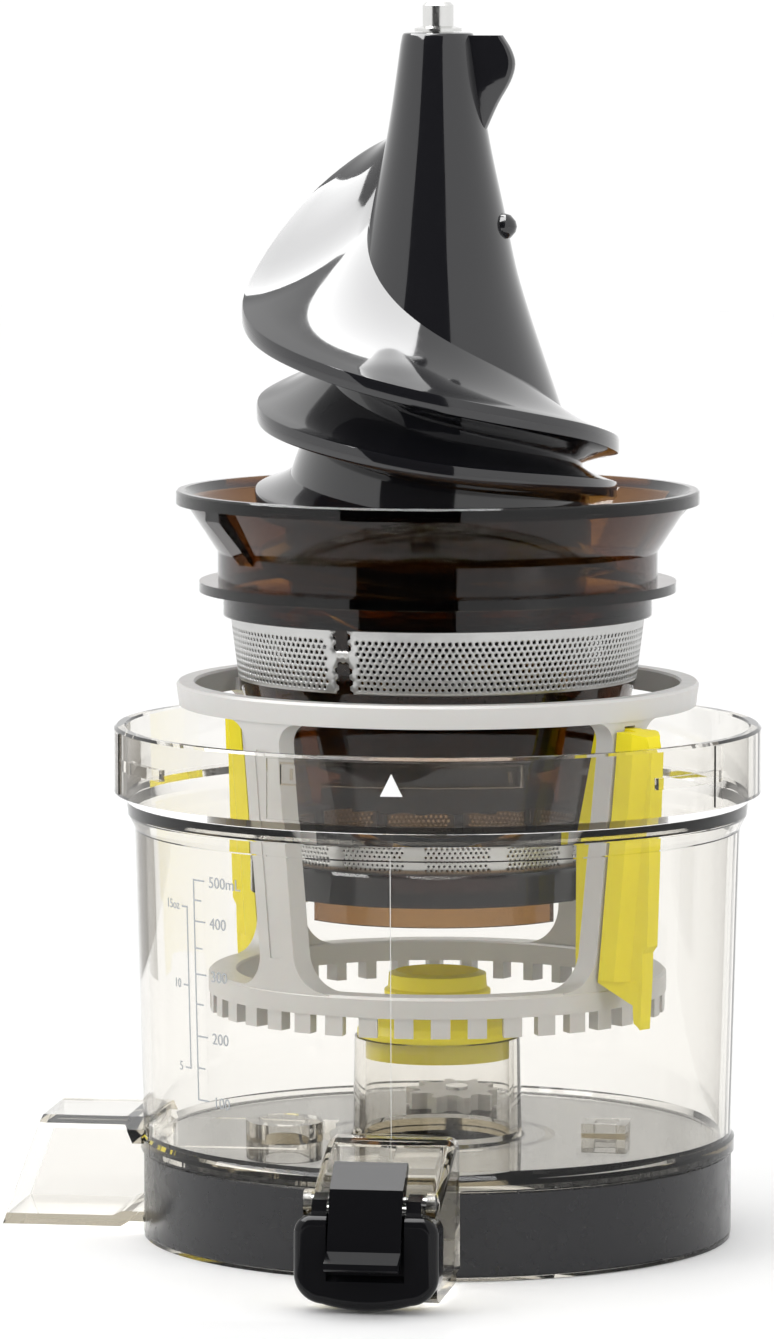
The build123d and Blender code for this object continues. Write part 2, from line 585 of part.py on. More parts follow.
def finer(points, step):
    """More sections between the given ones, on smooth curves through them."""
    result = []
    for i in range(len(points) - 1):
        p0, p1, p2 = points[max(i - 1, 0)], points[i], points[i + 1]
        p3 = points[min(i + 2, len(points) - 1)]
        count = max(1, round((p2[0] - p1[0]) / step))
        for k in range(count):
            t = k / count
            angle = p1[0] + (p2[0] - p1[0]) * t
            values = [angle]
            for j in (1, 2):
                m1 = (p2[j] - p0[j]) / (p2[0] - p0[0]) * (p2[0] - p1[0])
                m2 = (p3[j] - p1[j]) / (p3[0] - p1[0]) * (p2[0] - p1[0])
                ease = 3 * t ** 2 - 2 * t ** 3
                leave, arrive = t ** 3 - 2 * t ** 2 + t, t ** 3 - t ** 2
                values.append((1 - ease) * p1[j] + leave * m1 + ease * p2[j] + arrive * m2)
            result.append(tuple(values))
    return result + [points[-1]]


def auger_core():
    with BuildSketch(Plane.XZ) as half:
        with BuildLine():
            Spline(*CORE)
            Polyline(CORE[-1], (26.4, AUGER_BOTTOM), (22.0, AUGER_BOTTOM), (22.0, GEAR_BOTTOM),
                     (0, GEAR_BOTTOM), (0, AUGER_TOP), CORE[0])
        make_face()
    return revolve(half.sketch, Axis.Z, 360)


def top_fin():
    """Short fin at the top of the cone and a small nub below it."""
    fin = end_profile([(3, 265.4), (15.0, 265.4), (16.6, 262.4), (17.4, 259.2), (16.4, 255.4), (13.4, 250.5),
                       (10.6, 244.0), (5, 242)], 1.7)
    nub = Pos(15.2, 0, 223.6) * Rot(0, 12, 0) * scale(Sphere(3.0), (1.0, 0.9, 1.0))
    return Rot(0, 0, -6) * fin + Rot(0, 0, -8) * nub


def auger_screw():
    body = auger_core() + top_fin()
    body += flight(finer(MAIN_FLIGHT, 12), 4.0)
    body += flight(finer(SECOND_FLIGHT, 12), 4.0)
    gear = spur_gear(20, [(21.9, 2.0), (SUN_R, 1.45), (26.0, 0.8)], GEAR_BOTTOM, GEAR_H)
    body += gear
    body -= upright(AUGER_CAVITY_R, GEAR_BOTTOM - 1, 125)
    body -= upright(14.0, 124, 134)
    body -= upright(HUB_R, 133, HUB_TOP)
    body -= upright(TOP_PIN_R + RUN, 236, AUGER_TOP + 1)
    return body


def auger_drive_hub():
    hexagon = extrude(RegularPolygon(HEX_R, 6), 14)
    return upright(HUB_R, HUB_BOTTOM, HUB_TOP) - Pos(0, 0, HUB_BOTTOM) * hexagon


def auger_top_pin():
    """Steel pin in the top of the cone, with the collar it turns on."""
    pin = turned([(0, 237), (TOP_PIN_R, 237), (TOP_PIN_R, AUGER_TOP + 0.2), (5.2, AUGER_TOP + 0.2),
                  (5.2, AUGER_TOP + 0.9), (TOP_PIN_R, AUGER_TOP + 1.4), (TOP_PIN_R, TOP_PIN_Z - 0.7),
                  (TOP_PIN_R - 0.7, TOP_PIN_Z), (0, TOP_PIN_Z)])
    return pin


# --- write every node ----------------------------------------------------------------------------
NODES = {
    "bowl_shell": bowl_shell,
    "base_ring": base_ring,
    "post_seal": post_seal,
    "pinion_pin": pinion_pin,
    "brush_pinion": brush_pinion,
    "pulp_packing": pulp_packing,
    "cap_hinge_pin": cap_hinge_pin,
    "juice_cap": juice_cap,
    "cap_seal": cap_seal,
    "lever_pin": lever_pin,
    "cap_lever": cap_lever,
    "brush_frame": brush_frame,
    "wiper_front": lambda: wiper(WIPER_ANGLES[0]),
    "wiper_back": lambda: wiper(WIPER_ANGLES[1]),
    "strainer_body": strainer_body,
    "strainer_mesh_upper": upper_mesh,
    "strainer_mesh_lower": lower_mesh,
    "auger_screw": auger_screw,
    "auger_drive_hub": auger_drive_hub,
    "auger_top_pin": auger_top_pin,
}

for name, build in NODES.items():
    export_step(build(), f"parts/{name}.step")
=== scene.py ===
import bmesh
import bpy
import json
from math import cos, pi, radians, sin, sqrt
from mathutils import Matrix, Vector


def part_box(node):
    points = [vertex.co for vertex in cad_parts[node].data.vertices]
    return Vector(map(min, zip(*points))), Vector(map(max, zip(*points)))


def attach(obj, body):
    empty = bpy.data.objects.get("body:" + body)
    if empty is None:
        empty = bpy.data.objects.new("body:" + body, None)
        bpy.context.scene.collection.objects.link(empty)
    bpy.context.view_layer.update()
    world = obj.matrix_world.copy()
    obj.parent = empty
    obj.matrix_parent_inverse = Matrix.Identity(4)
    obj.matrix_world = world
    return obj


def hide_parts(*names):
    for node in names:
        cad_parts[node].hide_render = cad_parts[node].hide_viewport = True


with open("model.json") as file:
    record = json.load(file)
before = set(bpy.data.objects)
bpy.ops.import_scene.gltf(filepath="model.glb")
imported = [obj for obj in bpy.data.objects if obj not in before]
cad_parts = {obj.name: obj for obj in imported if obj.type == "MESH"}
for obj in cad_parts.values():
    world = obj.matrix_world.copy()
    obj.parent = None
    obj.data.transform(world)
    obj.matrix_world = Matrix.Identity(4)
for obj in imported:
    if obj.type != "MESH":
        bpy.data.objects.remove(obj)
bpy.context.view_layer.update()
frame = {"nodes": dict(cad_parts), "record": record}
nodes = frame["nodes"]
MM = 0.001  # lengths below are in millimetres unless a comment says otherwise


# --- places, from the frame -------------------------------------------------------------------------
def low(node):
    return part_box(node)[0]


def high(node):
    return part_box(node)[1]


GEAR_BOTTOM = low("auger_screw")[2]  # in metres, as every value from the frame


def link(obj):
    bpy.context.scene.collection.objects.link(obj)
    return obj


def polar(r, angle, z):
    """The place at radius r, at an angle in radians and at height z, in metres."""
    return r * cos(angle) * MM, r * sin(angle) * MM, z * MM


# --- camera: distances in metres, aimed a little left of the bowl's axis ----------------------------
AZIMUTH = radians(8.6)
ELEVATION = radians(5.6)
DISTANCE = 1.7
LENS = 206.6
AIM_HEIGHT = 0.1255
AIM_LEFT = 0.0112


def camera():
    data = bpy.data.cameras.new("camera")
    data.lens = LENS
    data.sensor_width = 36
    data.clip_start = 0.1
    data.clip_end = 50
    obj = link(bpy.data.objects.new("camera", data))
    right = Vector((cos(AZIMUTH), sin(AZIMUTH), 0))
    back = Vector((sin(AZIMUTH) * cos(ELEVATION), -cos(AZIMUTH) * cos(ELEVATION), sin(ELEVATION)))
    aim = Vector((0, 0, AIM_HEIGHT)) - AIM_LEFT * right
    obj.location = aim + DISTANCE * back
    obj.rotation_euler = (-back).to_track_quat("-Z", "Y").to_euler()
    bpy.context.scene.camera = obj


# --- materials --------------------------------------------------------------------------------------
def shader(name, **values):
    """A material whose constants sit on the shader's own sockets."""
    mat = bpy.data.materials.new(name)
    mat.use_nodes = True
    bsdf = mat.node_tree.nodes["Principled BSDF"]
    for key, value in values.items():
        bsdf.inputs[key.replace("_", " ")].default_value = value
    return mat


def noise(mat, scale, detail=3.0, stretch=(1, 1, 1)):
    """Noise in the object's own space, in cycles per metre."""
    tree = mat.node_tree
    coords = tree.nodes.new("ShaderNodeTexCoord")
    mapping = tree.nodes.new("ShaderNodeMapping")
    mapping.inputs["Scale"].default_value = stretch
    texture = tree.nodes.new("ShaderNodeTexNoise")
    texture.inputs["Scale"].default_value = scale
    texture.inputs["Detail"].default_value = detail
    tree.links.new(coords.outputs["Object"], mapping.inputs["Vector"])
    tree.links.new(mapping.outputs["Vector"], texture.inputs["Vector"])
    return texture.outputs["Fac"]


def vary(mat, source, socket, lowest, highest):
    """The socket goes from lowest to highest with the source's middle range."""
    tree = mat.node_tree
    if isinstance(lowest, tuple):
        mix = tree.nodes.new("ShaderNodeMix")
        mix.data_type = "RGBA"
        mix.inputs["A"].default_value = lowest
        mix.inputs["B"].default_value = highest
        tree.links.new(source, mix.inputs["Factor"])
        tree.links.new(mix.outputs["Result"], tree.nodes["Principled BSDF"].inputs[socket])
        return
    span = tree.nodes.new("ShaderNodeMapRange")
    span.inputs["From Min"].default_value = 0.3
    span.inputs["From Max"].default_value = 0.7
    span.inputs["To Min"].default_value = lowest
    span.inputs["To Max"].default_value = highest
    tree.links.new(source, span.inputs["Value"])
    tree.links.new(span.outputs["Result"], tree.nodes["Principled BSDF"].inputs[socket])


def bump(mat, source, strength, depth):
    tree = mat.node_tree
    node = tree.nodes.new("ShaderNodeBump")
    node.inputs["Strength"].default_value = strength
    node.inputs["Distance"].default_value = depth
    tree.links.new(source, node.inputs["Height"])
    tree.links.new(node.outputs["Normal"], tree.nodes["Principled BSDF"].inputs["Normal"])


def absorb(mat, colour, density):
    """Tint that deepens with the length of the way through the plastic."""
    tree = mat.node_tree
    volume = tree.nodes.new("ShaderNodeVolumeAbsorption")
    volume.inputs["Color"].default_value = colour
    volume.inputs["Density"].default_value = density
    tree.links.new(volume.outputs["Volume"], tree.nodes["Material Output"].inputs["Volume"])


def clear_plastic():
    mat = shader("clear_bowl", Base_Color=(0.99, 0.985, 0.975, 1), Transmission_Weight=1.0, IOR=1.34)
    vary(mat, noise(mat, 90), "Roughness", 0.0, 0.03)
    bump(mat, noise(mat, 45, 1.0), 0.05, 0.0004)
    absorb(mat, (0.765, 0.735, 0.66, 1), 95.0)
    return mat


def smoky_plastic():
    mat = shader("smoky_plastic", Base_Color=(0.95, 0.92, 0.88, 1), Transmission_Weight=1.0, IOR=1.42)
    vary(mat, noise(mat, 120), "Roughness", 0.02, 0.07)
    bump(mat, noise(mat, 60, 1.0), 0.06, 0.0004)
    absorb(mat, (0.70, 0.545, 0.24, 1), 2300.0)
    return mat


def gloss_black():
    mat = shader("gloss_black", Base_Color=(0.008, 0.008, 0.010, 1), IOR=1.52, Coat_Weight=0.6,
                 Coat_Roughness=0.03)
    vary(mat, noise(mat, 160), "Roughness", 0.05, 0.12)
    bump(mat, noise(mat, 30, 2.0), 0.08, 0.0006)
    return mat


def satin_black():
    mat = shader("black_plastic", Base_Color=(0.006, 0.006, 0.008, 1), IOR=1.5, Specular_IOR_Level=0.5)
    vary(mat, noise(mat, 220, 4.0), "Roughness", 0.20, 0.32)
    bump(mat, noise(mat, 900, 2.0), 0.05, 0.0001)
    return mat


def cap_black():
    mat = shader("cap_black", Base_Color=(0.006, 0.006, 0.007, 1), IOR=1.5, Specular_IOR_Level=0.2)
    vary(mat, noise(mat, 180, 3.0), "Roughness", 0.08, 0.16)
    bump(mat, noise(mat, 500, 2.0), 0.04, 0.0001)
    return mat


def grey_plastic():
    mat = shader("grey_plastic", IOR=1.46, Subsurface_Weight=0.08, Subsurface_Scale=0.002)
    source = noise(mat, 70, 4.0)
    vary(mat, source, "Base Color", (0.57, 0.56, 0.54, 1), (0.62, 0.61, 0.59, 1))
    vary(mat, noise(mat, 300), "Roughness", 0.30, 0.42)
    bump(mat, noise(mat, 1400, 2.0), 0.10, 0.0001)
    return mat


def silicone():
    mat = shader("yellow_silicone", IOR=1.42, Subsurface_Weight=0.15, Subsurface_Scale=0.003)
    mat.node_tree.nodes["Principled BSDF"].inputs["Subsurface Radius"].default_value = (1.0, 0.8, 0.1)
    source = noise(mat, 55, 3.0)
    vary(mat, source, "Base Color", (0.86, 0.72, 0.006, 1), (0.92, 0.79, 0.012, 1))
    vary(mat, noise(mat, 250), "Roughness", 0.38, 0.52)
    bump(mat, noise(mat, 1100, 2.0), 0.12, 0.0001)
    return mat


def steel(name, stretch, rough, shade):
    mat = shader(name, Base_Color=(shade, shade, 0.98 * shade, 1), Metallic=1.0)
    vary(mat, noise(mat, 700, 2.0, stretch), "Roughness", rough - 0.06, rough + 0.06)
    bump(mat, noise(mat, 900, 2.0, stretch), 0.08, 0.00005)
    return mat


def print_ink(name, colour):
    mat = shader(name, IOR=1.4)
    vary(mat, noise(mat, 500, 2.0), "Base Color", tuple(0.9 * c for c in colour) + (1,), colour + (1,))
    vary(mat, noise(mat, 800), "Roughness", 0.4, 0.6)
    return mat


def finishes():
    return {
        "clear_bowl": clear_plastic(),
        "smoky_plastic": smoky_plastic(),
        "gloss_black": gloss_black(),
        "black_plastic": satin_black(),
        "dark_hub": satin_black(),
        "cap_black": cap_black(),
        "grey_plastic": grey_plastic(),
        "yellow_silicone": silicone(),
        "steel": steel("steel", (1, 1, 0.2), 0.22, 0.72),
        "steel_mesh": steel("steel_mesh", (0.3, 0.3, 1), 0.34, 0.52),
    }


def paint_nodes(mats):
    """Every CAD node in its slot's material; light reaches the pieces inside the clear bowl."""
    for part in frame["record"]["subparts"]:
        obj = nodes[part["node"]]
        obj.data.materials.clear()
        obj.data.materials.append(mats[part["material_slot"]])
    for name in ("juice_cap", "cap_lever"):
        nodes[name].data.materials[0] = mats["cap_black"]
    nodes["bowl_shell"].visible_shadow = False


# --- mesh helpers -----------------------------------------------------------------------------------
def piece(name, verts, faces, mat, body, sharp=35):
    """A mesh object in the row frame, in metres, shaded smooth except at sharp edges, riding on a body."""
    mesh = bpy.data.meshes.new(name)
    mesh.from_pydata([tuple(v) for v in verts], [], faces)
    mesh.validate()
    work = bmesh.new()
    work.from_mesh(mesh)
    bmesh.ops.remove_doubles(work, verts=work.verts, dist=1e-7)
    bmesh.ops.recalc_face_normals(work, faces=work.faces)
    work.to_mesh(mesh)
    work.free()
    for face in mesh.polygons:
        face.use_smooth = True
    mesh.set_sharp_from_angle(angle=radians(sharp))
    mesh.materials.append(mat)
    obj = link(bpy.data.objects.new(name, mesh))
    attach(obj, body)
    return obj


def turned(profile, steps=144):
    """Vertices and faces of a closed solid of revolution from a closed (r, z) outline in millimetres."""
    verts, faces, count = [], [], len(profile)
    for i in range(steps):
        a = 2 * pi * i / steps
        verts += [polar(r, a, z) for r, z in profile]
    for i in range(steps):
        for j in range(count):
            k, l = (i + 1) % steps, (j + 1) % count
            corners = [i * count + j, i * count + l, k * count + l, k * count + j]
            if profile[j][0] < 1e-6:
                corners.remove(k * count + j)
            if profile[l][0] < 1e-6:
                corners.remove(k * count + l)
            if len(corners) > 2:
                faces.append(corners)
    return verts, faces


def loft(sections):
    """A closed solid through closed sections that all have the same number of points."""
    count = len(sections[0])
    verts = [v for section in sections for v in section]
    faces = []
    for i in range(len(sections) - 1):
        for j in range(count):
            k = (j + 1) % count
            faces.append([i * count + j, i * count + k, (i + 1) * count + k, (i + 1) * count + j])
    last = (len(sections) - 1) * count
    return verts, faces + [list(range(count)), [last + j for j in reversed(range(count))]]


def smooth_curve(points, per_span):
    """More points on a smooth curve through the given ones; the first number leads.

    per_span is a whole number of steps for each span, or the length of a step.
    """
    result = []
    for i in range(len(points) - 1):
        p0, p1, p2 = points[max(i - 1, 0)], points[i], points[i + 1]
        p3 = points[min(i + 2, len(points) - 1)]
        count = per_span if isinstance(per_span, int) else max(1, round(abs(p2[0] - p1[0]) / per_span))
        for k in range(count):
            t = k / count
            span = p2[0] - p1[0]
            row = [p1[0] + span * t]
            for j in range(1, len(p1)):
                m1 = (p2[j] - p0[j]) / (p2[0] - p0[0]) * span
                m2 = (p3[j] - p1[j]) / (p3[0] - p1[0]) * span
                row.append((2 * t**3 - 3 * t**2 + 1) * p1[j] + (t**3 - 2 * t**2 + t) * m1
                           + (3 * t**2 - 2 * t**3) * p2[j] + (t**3 - t**2) * m2)
            result.append(tuple(row))
    return result + [points[-1]]


def add(parts):
    """One list of vertices and faces from several."""
    verts, faces = [], []
    for v, f in parts:
        faces += [[i + len(verts) for i in face] for face in f]
        verts += v
    return verts, faces


# --- auger ------------------------------------------------------------------------------------------
MAIN_FLIGHT = [  # degrees about the axis, radius and height of the rim, in millimetres
    (128, 12, 243), (145, 21, 238.5), (160, 30, 230), (172, 37, 219.5), (182, 42, 209.5), (192, 43.2, 204.5),
    (235, 43.2, 195), (279, 42.4, 187), (325, 41, 180.5), (369, 40, 175), (460, 40, 169.5), (550, 40.4, 164),
    (640, 40, 156.5), (730, 39.4, 149), (820, 37.8, 141), (910, 35.8, 133), (1000, 33.8, 125),
    (1090, 31.8, 117), (1150, 30.8, 112)]
SECOND_FLIGHT = [
    (150, 26, 192), (165, 32, 189.5), (180, 38.6, 185.5), (192, 40, 183), (235, 40, 177.5), (279, 40, 172),
    (325, 40, 168.5), (369, 39.6, 165.2), (460, 39.6, 158.5), (550, 39.4, 151.5), (640, 38.2, 144),
    (730, 36.6, 136.5), (820, 34.6, 128.5), (910, 32.6, 120.5), (1000, 30.8, 112.5)]
CORE = [(266.0, 7.9), (244.5, 11.0), (226.8, 14.7), (211, 18.2), (185, 26.8), (165.5, 33.4), (150, 33.6),
        (138, 31.8), (118, 28.0), (107, 26.4)]
CORE_FINE = smooth_curve(CORE, 8)
RIM = 4.0  # thickness of a flight at its rim
ROOT = 2.5  # depth that a flight goes into the core
STEP = 3.0  # degrees between two sections of a flight
CORE_END = [(7.0, 266.0), (7.6, 265.8), (7.9, 265.3)]  # rounded top edge of the cone
CAVITY = [(26.4, 104.3), (22.0, 104.3), (22.0, 96.3), (19.8, 96.3), (19.8, 125), (14.0, 125), (14.0, 134),
          (8.9, 134), (8.9, 140), (3.46, 140), (3.46, 266.0)]  # gear root, room for the post, hub and pin
GEAR_TEETH = 20
GEAR_HEIGHT = 3.7
GEAR_BORE = 20.5
TOOTH = [(21.6, -2.0), (24.2, -1.45), (25.7, -0.9), (26.0, -0.6), (26.0, 0.6), (25.7, 0.9), (24.2, 1.45),
         (21.6, 2.0)]  # radius, and distance from the tooth's middle
FIN_EDGE = [(265.4, 14.6), (262.4, 16.5), (259.2, 17.4), (255.4, 16.4), (250.5, 13.6), (244.0, 10.6)]
FIN_ROOT = 6.0
FIN_ANGLE = radians(-6)
NUB_PLACE = (15.0, radians(-8), 223.6)
NUB_OUTLINE = [(0, -3.0), (1.6, -2.5), (2.7, -1.2), (3.0, 0), (2.7, 1.2), (1.6, 2.5), (0, 3.0)]


def core_radius(z):
    for (z1, r1), (z0, r0) in zip(CORE_FINE, CORE_FINE[1:]):
        if z0 <= z <= z1:
            return r0 + (r1 - r0) * (z - z0) / (z1 - z0)
    return CORE[-1][1] if z < CORE[-1][0] else CORE[0][1]


def bend(a, b, c, steps):
    """Points on the quadratic curve from a to c with the handle b, without the ends."""
    result = []
    for i in range(1, steps):
        t = i / steps
        result.append(tuple((1 - t)**2 * p + 2 * t * (1 - t) * q + t * t * s for p, q, s in zip(a, b, c)))
    return result


def flight_section(radius, z):
    """Closed (r, z) outline of a flight: a hollow curve from the core to a rounded rim, and back."""
    depth = max(radius - core_radius(z), 1.0)
    rise = min(0.85 * depth, 20)
    top, under = z + RIM / 2, z - RIM / 2
    drop = under - 0.22 * depth
    start = (core_radius(z + rise) - 0.3, z + rise)
    end = (core_radius(drop) - 0.3, drop)
    lip = (radius - 0.7, top)
    upper = bend(start, (core_radius(z) + 0.30 * depth, top + 0.18 * rise), lip, 8)
    rim = [lip, (radius - 0.2, top - 0.2), (radius, top - 0.7), (radius, under + 0.7),
           (radius - 0.2, under + 0.2), (radius - 0.7, under)]
    lower = bend(rim[-1], (core_radius(z) + 0.15 * depth, under - 0.1 * depth), end, 5)
    return [(start[0] - ROOT, start[1]), start] + upper + rim + lower + [end, (end[0] - ROOT, end[1])]


def flight(points):
    """A solid band wound round the core, from its section at each angle."""
    sections = []
    for angle, radius, height in smooth_curve(points, STEP):
        sections.append([polar(r, radians(angle), z) for r, z in flight_section(radius, height)])
    return loft(sections)


def auger_core():
    """The tapering cone, hollow below for the centre post and above for the pin."""
    side = [(r, z) for z, r in CORE_FINE[1:]]
    return turned(CORE_END + side + CAVITY, 180)


def gear_ring():
    """Straight teeth round the bottom of the screw."""
    outer = []
    count = GEAR_TEETH * len(TOOTH)
    for i in range(GEAR_TEETH):
        middle = 2 * pi * i / GEAR_TEETH
        outer += [polar(r, middle + w / r, 0) for r, w in TOOTH]
    first = (len(TOOTH) - 1) / 2
    inner = [polar(GEAR_BORE, 2 * pi * (i - first) / count, 0) for i in range(count)]
    heights = (GEAR_BOTTOM, GEAR_BOTTOM + GEAR_HEIGHT * MM)
    verts = [(x, y, z) for z in heights for ring in (outer, inner) for x, y, _ in ring]
    faces = []
    for j in range(count):
        k = (j + 1) % count
        faces += [[j, k, 2 * count + k, 2 * count + j], [count + j, count + k, 3 * count + k, 3 * count + j],
                  [j, k, count + k, count + j], [2 * count + j, 2 * count + k, 3 * count + k, 3 * count + j]]
    return verts, faces


def top_fin():
    """Short fin beside the top of the cone, thick at its root and rounded at its edge."""
    edge = smooth_curve(FIN_EDGE, 4)
    turn = Matrix.Rotation(FIN_ANGLE, 3, "Z")
    sections = []
    for z, r in edge:
        side = [(FIN_ROOT, 2.6), (r - 1.2, 1.8), (r - 0.3, 1.3), (r, 0.4)]
        outline = side + [(radius, -half) for radius, half in reversed(side)]
        sections.append([tuple(turn @ (Vector((radius, half, z)) * MM)) for radius, half in outline])
    return loft(sections)


def nub():
    """Small rounded stop on the side of the cone."""
    verts, faces = turned(NUB_OUTLINE, 24)
    place = Vector(polar(*NUB_PLACE))
    return [tuple(Vector(v) + place) for v in verts], faces


def auger(mats):
    flights = [flight(MAIN_FLIGHT), flight(SECOND_FLIGHT)]
    verts, faces = add([auger_core()] + flights + [gear_ring(), top_fin(), nub()])
    obj = piece("auger_screw_fine", verts, faces, mats["gloss_black"], "auger", 38)
    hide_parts("auger_screw")


# --- strainer sheets --------------------------------------------------------------------------------
HEXAGON = [(cos(pi / 6 + pi / 3 * k) / sqrt(3), sin(pi / 6 + pi / 3 * k)) for k in range(6)]
SHEET_T = 0.4
UPPER_RIBS = (-109, 11, 131)
LOWER_RIBS = [30 * i for i in range(12)]


def perforated(name, node, low_r, high_r, pitch, hole, blank, gap, mats):
    """A perforated sheet bent to a cone: six-sided cells round six-sided holes.

    blank(angle, z) is true where the sheet is plain, and gap(angle, z) where it is cut away.
    """
    z0, z1 = low(node)[2], high(node)[2]
    around = round(2 * pi * (low_r + high_r) / 2 / pitch)
    row_step = pitch * sqrt(3) / 2 * MM
    rows = int((z1 - z0) / row_step) + 2
    corner = pitch / sqrt(3)
    verts, faces, index = [], [], {}

    def vertex(u, v):
        """One vertex for each place: u counts cells round the cone, v is the height in metres."""
        v = min(max(v, z0), z1)
        key = (round(u * 600) % (around * 600), round(v * 1e7))
        if key not in index:
            a = 2 * pi * u / around
            r = (low_r + (high_r - low_r) * (v - z0) / (z1 - z0)) * MM
            index[key] = len(verts)
            verts.append((r * cos(a), r * sin(a), v))
        return index[key]

    for row in range(rows):
        v = z0 + row * row_step
        for i in range(around):
            u = i + 0.5 * (row % 2)
            if gap(360 * u / around, v):
                continue
            outer = [vertex(u + x, v + y * corner * MM) for x, y in HEXAGON]
            at_edge = v - z0 < 0.9 * row_step or z1 - v < 0.9 * row_step
            if blank(360 * u / around, v) or at_edge:
                face = list(dict.fromkeys(outer))
                if len(face) > 2:
                    faces.append(face)
                continue
            scale = hole / pitch * sqrt(3)
            inner = [vertex(u + x * scale, v + y * corner * scale * MM) for x, y in HEXAGON]
            faces += [[outer[k], outer[(k + 1) % 6], inner[(k + 1) % 6], inner[k]] for k in range(6)]
    obj = piece(name, verts, faces, mats["steel_mesh"], "strainer", 60)
    solid = obj.modifiers.new("thickness", "SOLIDIFY")
    solid.thickness = SHEET_T * MM
    solid.offset = -1
    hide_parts(node)


def near(angle, centres, half):
    """True within half a width, in degrees, of one of the centres."""
    return any(abs((angle - c + 180) % 360 - 180) < half for c in centres)


def strainer_sheets(mats):
    """The upper sheet is open at the first rib, apart from a narrow bridge; the lower one is whole."""
    foot, head = low("strainer_mesh_upper")[2], high("strainer_mesh_upper")[2]
    bridge = (0.49 * foot + 0.51 * head, 0.37 * foot + 0.63 * head)
    margin = 1.8 * MM

    def upper_blank(angle, z):
        return near(angle, UPPER_RIBS[:1], 4.6) or near(angle, UPPER_RIBS[1:], 3.4) or z > head - margin

    def upper_gap(angle, z):
        return near(angle, UPPER_RIBS[:1], 2.3) and not bridge[0] < z < bridge[1]

    def lower_blank(angle, z):
        return near(angle, LOWER_RIBS, 3.4)

    def no_gap(angle, z):
        return False

    perforated("strainer_mesh_upper_fine", "strainer_mesh_upper", 44.0, 45.8, 1.45, 0.46,
               upper_blank, upper_gap, mats)
    perforated("strainer_mesh_lower_fine", "strainer_mesh_lower", 35.4, 36.0, 1.15, 0.32,
               lower_blank, no_gap, mats)


# --- marks on the bowl ------------------------------------------------------------------------------
INK_T = 0.12
INK_LIFT = 0.02  # how far a mark's back stands off the wall
LINE = 0.35
ML_ANGLE = -134.0
ML_MARKS = [(500, 83.6), (450, 79.2), (400, 74.6), (350, 68.7), (300, 63.0), (250, 56.4), (200, 49.4),
            (150, 42.4), (100, 35.4)]
OZ_ANGLE = -136.3
OZ_MARKS = [(15, 77.4), (10, 60.2), (5, 42.0)]
OZ_LABELS = [("15oz", -8.6, 77.6), ("10", -5.8, 60.4), ("5", -4.4, 42.2)]
SLOT_ANGLE = -88.5
LID_MARK_ANGLE = -89.6
PARTING_ANGLE = -90.5
WALL_FOOT = (65.3, 23)
WALL_HEAD = (67.1, 91)
COLLAR_R = 72.2


def wall_radius(z):
    """Outside of the bowl's wall at height z, in millimetres."""
    (r0, z0), (r1, z1) = WALL_FOOT, WALL_HEAD
    return r0 + (r1 - r0) * (z - z0) / (z1 - z0)


def collar_radius(z):
    """Face of the collar's thicker front section, the same at every height."""
    return COLLAR_R


def wrapped(boxes, radius=wall_radius, thick=INK_T):
    """Thin closed boxes laid on a round face, each (angle, offset along the face, width, z, height)."""
    verts, faces = [], []
    for angle, offset, width, z, height in boxes:
        steps = max(1, round(width))
        base = len(verts)
        for i in range(steps + 1):
            s = offset + width * i / steps
            for dz in (0, height):
                for lift in (INK_LIFT, thick):
                    r = radius(z + dz) + lift
                    verts.append(polar(r, radians(angle) + s / r, z + dz))
        for i in range(steps):
            p, q = base + 4 * i, base + 4 * i + 4
            faces += [[p, q, q + 1, p + 1], [p + 2, p + 3, q + 3, q + 2], [p + 1, q + 1, q + 3, p + 3],
                      [p, p + 2, q + 2, q]]
        faces += [[base, base + 1, base + 3, base + 2], [q, q + 2, q + 3, q + 1]]
    return verts, faces


def label(text, angle, offset, z, size):
    """Figures laid on the wall, their left end at offset along it."""
    curve = bpy.data.curves.new("label", "FONT")
    curve.body = text
    curve.size = size
    curve.align_y = "CENTER"
    curve.extrude = (INK_T - INK_LIFT) / 2
    curve.resolution_u = 3
    obj = link(bpy.data.objects.new("label", curve))
    bpy.context.view_layer.update()
    mesh = bpy.data.meshes.new_from_object(obj.evaluated_get(bpy.context.evaluated_depsgraph_get()))
    verts, faces = [], [list(p.vertices) for p in mesh.polygons]
    for v in mesh.vertices:
        r = wall_radius(z + v.co.y) + (INK_T + INK_LIFT) / 2 + v.co.z
        verts.append(polar(r, radians(angle) + (offset + v.co.x) / r, z + v.co.y))
    bpy.data.objects.remove(obj)
    bpy.data.curves.remove(curve)
    bpy.data.meshes.remove(mesh)
    return verts, faces


def volume_marks():
    """The two printed scales: upright lines, ticks and figures."""
    ink = print_ink("grey_print", (0.40, 0.42, 0.44))
    boxes = [(ML_ANGLE, 0, LINE, 35.4, 48.6), (OZ_ANGLE, 0, LINE, 42.0, 35.8)]
    for value, z in ML_MARKS:
        boxes.append((ML_ANGLE, LINE, 3.6 if value % 100 == 0 else 2.4, z, LINE))
    for _, z in OZ_MARKS:
        boxes.append((OZ_ANGLE, -1.9, 1.9, z, LINE))
    parts = [wrapped(boxes)]
    for value, z in ML_MARKS[::2]:
        text = "500mL" if value == 500 else str(value)
        parts.append(label(text, ML_ANGLE, 5.4, z, 3.5))
    for text, offset, z in OZ_LABELS:
        parts.append(label(text, OZ_ANGLE, offset, z, 2.9))
    verts, faces = add(parts)
    piece("volume_marks", verts, faces, ink, "bowl", 30)


